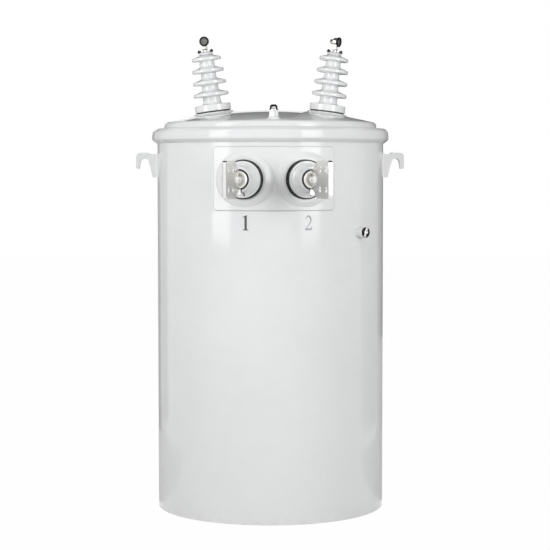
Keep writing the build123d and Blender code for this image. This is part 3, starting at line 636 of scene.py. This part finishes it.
for (first_turn, first_level), (turn, level) in zip(edge, edge[1:] + edge[:1]):
    pieces = max(1, round(abs(turn - first_turn) / 2))
    for i in range(pieces):
        share = i / pieces
        rounded.append(on_wall(first_turn + (turn - first_turn) * share,
                               first_level + (level - first_level) * share, bead_up))
# The bead round the plate is painted a darker grey than the enamel, as the shade line along the
# plate's edge.
edge_shade_enamel = enamel("edge_shade_enamel", (0.62, 0.625, 0.63), gloss=0.12)
weld_bead("plate_weld", [(rounded, True)], plate_bead, edge_shade_enamel)
key_front, hub_front, spike_front, pad_centre, pad_front = 0.3412, 0.3585, 0.382, 0.431, 0.4704
hub_radius, dark_radius, spike_radius = 0.0220, 0.0203, 0.0085
half_pitch, hole_radius = 0.022225, 0.0080
spade_tin, highlight_tin, shade_tin = (0.84, 0.832, 0.808), (0.98, 0.975, 0.96), (0.52, 0.505, 0.475)


def spade_shading(turn):
    """Painted shade as a darker ring and a black edge on the hub, painted highlights on the spike,
    the key and in the holes, and darker edges on the pad's end.
    """

    def shading(point, shade, metal, rough):
        reach = point.part(0) * math.sin(turn) - point.part(1) * math.cos(turn)
        aside, up = beside(point, turn).size(), point.part(2) - spade_height
        squares = aside * aside + up * up
        radius = squares.maths("SQRT", squares) + reach.span(hub_front, hub_front + 0.0015)
        hub = radius.span(hub_radius + 0.0005, hub_radius)
        ball_shade = hub * radius.span(0.0040, 0.0115) * radius.span(0.0165, 0.0140)
        shade = ball_shade.between(shade, shade_tin)
        spike = (squares.span((spike_radius + 0.002) ** 2, spike_radius ** 2)
                 * reach.span(spike_front + 0.004, spike_front))
        key = (reach.span(key_front, key_front - blur) * aside.span(0.0056, 0.0053)
               * up.span(-hub_radius - 0.0002, -hub_radius - 0.0006))
        spike_and_key_highlight = spike.maths("MAXIMUM", spike, key)
        shade = spike_and_key_highlight.between(shade, highlight_tin)
        hub_gap_shade = radius.span(dark_radius, dark_radius + 0.0006) * hub
        shade = hub_gap_shade.between(shade, black_tone)
        pad_end_edges = reach.span(pad_front, pad_front + blur) * aside.span(0.0033, 0.0037)
        shade = pad_end_edges.between(shade, tuple(c * 0.55 for c in spade_tin))
        along, over = (reach - pad_centre).size() - half_pitch, up.size() - half_pitch
        hole_highlight = (along * along + over * over).span((hole_radius + 0.0006) ** 2, hole_radius ** 2)
        shade = hole_highlight.between(shade, highlight_tin)
        return shade, metal - hole_highlight * 0.3 - spike_and_key_highlight * 0.55, rough + hub * 0.12 - hole_highlight * 0.15

    return shading


for word, turn in spade_turns.items():
    spade_bronze = casting("spade_bronze_" + word, spade_tin, gloss=0.20, shading=spade_shading(turn))
    dress(spade_bronze, "lv_spade_" + word)
dress(tinned, "lv_stud_left", "lv_stud_right")


# ---- terminal numbers ------------------------------------------------------------
# A plain number is painted on the tank under each low voltage bushing. Thin black
# or grey ink, brushed through a stencil, lets some of the enamel show.
def stencil_ink(name, colour):
    """Thin matt paint that is paler where it hardly covers."""
    look, point, shader = finish(name)
    thin = point.noise(420, 4, 0.7)
    paler = tuple(c * 0.5 + 0.35 for c in colour)
    feed(shader, "Base Color", thin.span(0.52, 0.78).between(colour, paler))
    feed(shader, "Roughness", thin * 0.2 + 0.22)
    return look


def painted_number(name, outline, angle, ink):
    """Fill a digit's outline (x, y, and 1 where it is curved) and roll it onto the tank."""
    drawing = bpy.data.curves.new(name, "CURVE")
    drawing.dimensions, drawing.fill_mode, drawing.resolution_u = "2D", "BOTH", 8
    run = drawing.splines.new("BEZIER")
    run.bezier_points.add(len(outline) - 1)
    run.use_cyclic_u = True
    for knot, (x, y, curved) in zip(run.bezier_points, outline):
        knot.co = (x, y, 0)
        knot.handle_left_type = knot.handle_right_type = "AUTO" if curved else "VECTOR"
    holder = bpy.data.objects.new(name, drawing)
    mesh = bpy.data.meshes.new_from_object(holder)
    bpy.data.objects.remove(holder)
    shape = bmesh.new()
    shape.from_mesh(mesh)
    bmesh.ops.remove_doubles(shape, verts=shape.verts, dist=0.0001)
    middle_x = (min(v.co.x for v in shape.verts) + max(v.co.x for v in shape.verts)) / 2
    for vert in shape.verts:
        across = (vert.co.x - middle_x) * number_tall
        height = number_level + (vert.co.y - 0.5) * number_tall
        vert.co = on_wall(angle + math.degrees(across / tank_radius), height, ink_up)
    bmesh.ops.recalc_face_normals(shape, faces=shape.faces)
    shape.faces.ensure_lookup_table()
    if shape.faces[0].normal.y > 0:
        bmesh.ops.reverse_faces(shape, faces=shape.faces)
    shape.to_mesh(mesh)
    shape.free()
    mesh.name = name
    place_piece(name, mesh, ink, crease=60.0)


one = [(0.06, 0.0, 0), (0.46, 0.0, 0), (0.46, 0.03, 0), (0.345, 0.07, 0), (0.345, 1.0, 0),
       (0.29, 1.0, 0), (0.05, 0.885, 0), (0.05, 0.855, 0), (0.165, 0.885, 0), (0.185, 0.84, 0),
       (0.185, 0.07, 0), (0.06, 0.03, 0)]
two = [(0.0, 0.0, 0), (0.485, 0.0, 0), (0.535, 0.26, 0), (0.505, 0.26, 0), (0.43, 0.135, 0),
       (0.125, 0.125, 0), (0.36, 0.40, 1), (0.485, 0.715, 1), (0.27, 1.0, 1), (0.035, 0.735, 0),
       (0.07, 0.725, 0), (0.235, 0.895, 1), (0.375, 0.68, 1), (0.26, 0.38, 1), (0.0, 0.04, 0)]
number_level, number_tall, ink_up = 0.7115, 0.035, 0.00015
dark_ink = stencil_ink("dark_stencil", (0.055, 0.06, 0.065))
painted_number("number_left", one, angle=-13.95, ink=dark_ink)
grey_ink = stencil_ink("grey_stencil", (0.34, 0.35, 0.36))
painted_number("number_right", two, angle=16.5, ink=grey_ink)


# ---- lugs, brackets and bosses ---------------------------------------------------
# Bent steel hooks at the sides, two slotted brackets at the back, and bosses for the
# valve and the earth wire, all welded to the tank and painted with it.
fitting_enamel = enamel("fitting_enamel", light_grey, gloss=0.09, dust=0.10)
dress(fitting_enamel, "lifting_lug_left", "lifting_lug_right", "hanger_upper", "hanger_lower",
      "relief_boss", "ground_boss")


def around(angle, half_wide, low, high):
    """Corners of an upright rectangle on the tank's face, for a weld round a fitting."""
    swing = math.degrees(math.asin(half_wide / tank_radius))
    return [on_wall(angle + way * swing, height)
            for way, height in ((-1, low), (1, low), (1, high), (-1, high))]


lug_half, lug_rise, lug_drop, fitting_bead = 0.0165, 0.0005, 0.0032, 0.0030
for angle, word in ((-90, "left"), (90, "right")):
    low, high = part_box("lifting_lug_" + word)
    route = around(angle, lug_half, low.z - lug_rise, high.z - lug_drop)
    weld_bead(f"lug_weld_{word}", [(route, True)], fitting_bead)
web_out, web_half, web_end = 0.034, 0.0038, 0.0120
for node in ("hanger_upper", "hanger_lower"):
    low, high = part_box(node)
    web_lean = math.degrees(math.asin(web_out / tank_radius))
    routes = [(around(180 + way * web_lean, web_half, low.z + web_end, high.z - web_end), True)
              for way in (-1, 1)]
    weld_bead(node + "_weld", routes, fitting_bead)


def boss_weld(node, angle, radius):
    """A bead round a boss on the tank's face."""
    low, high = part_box(node)
    height, steps = (low.z + high.z) / 2, 28
    ring = []
    for i in range(steps):
        turn = math.tau * i / steps
        lean = math.degrees(math.cos(turn) * radius / tank_radius)
        ring.append(on_wall(angle + lean, height + math.sin(turn) * radius))
    weld_bead(node + "_weld", [(ring, True)], boss_bead)


relief_angle, ground_angle, boss_bead = 47, 152, 0.0018
boss_weld("relief_boss", relief_angle, radius=0.0135)
boss_weld("ground_boss", ground_angle, radius=0.0178)


# ---- pressure relief valve -------------------------------------------------------
# A turned valve, screwed into its boss and plated dark. A black rim and a bright
# slanting stripe on its dial are painted reflections.
valve_low, valve_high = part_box("relief_valve")
valve_turn, valve_spot = math.radians(relief_angle), (valve_low + valve_high) / 2
valve_way = Vector((math.sin(valve_turn), -math.cos(valve_turn), 0))
level_way = Vector((math.cos(valve_turn), math.sin(valve_turn), 0))
stripe_run, stripe_fall, stripe_off, stripe_half, dial_radius = 0.92, 0.39, 0.0030, 0.0032, 0.0120
stripe_way = level_way * stripe_run - Vector((0, 0, stripe_fall))
stripe_spot = valve_spot - stripe_way * stripe_off


def on_highlight_stripe(point):
    """1 on the dial's painted highlight stripe, else 0."""
    away = along_way(point, stripe_spot, stripe_way).size()
    return away.span(stripe_half + 0.0006, stripe_half)


# The dial's outer rim is painted black, as a dark reflection.
dial_rim_reflection = outside(valve_spot, valve_way, dial_radius, 0.0003)
valve_plate = plated("valve_plate", (0.025, 0.025, 0.024), gloss=0.10, streak=0.05,
                     painted_reflections=[(on_highlight_stripe, (0.88, 0.88, 0.86)), (dial_rim_reflection, reflection_black)])
dress(valve_plate, "relief_valve")


# ---- core ------------------------------------------------------------------------
# One plain solid that stands for the wound core and coils in their oil. It is dull
# grey steel, sealed in the tank and out of sight.
core_steel, point, shader = finish("core_steel")
sheets = point.noise(60, 4)
feed(shader, "Base Color", sheets.between((0.22, 0.22, 0.23), (0.36, 0.36, 0.37)))
feed(shader, "Roughness", sheets * 0.2 + 0.4)
shader.inputs["Metallic"].default_value = 0.6
dress(core_steel, "core_and_oil")
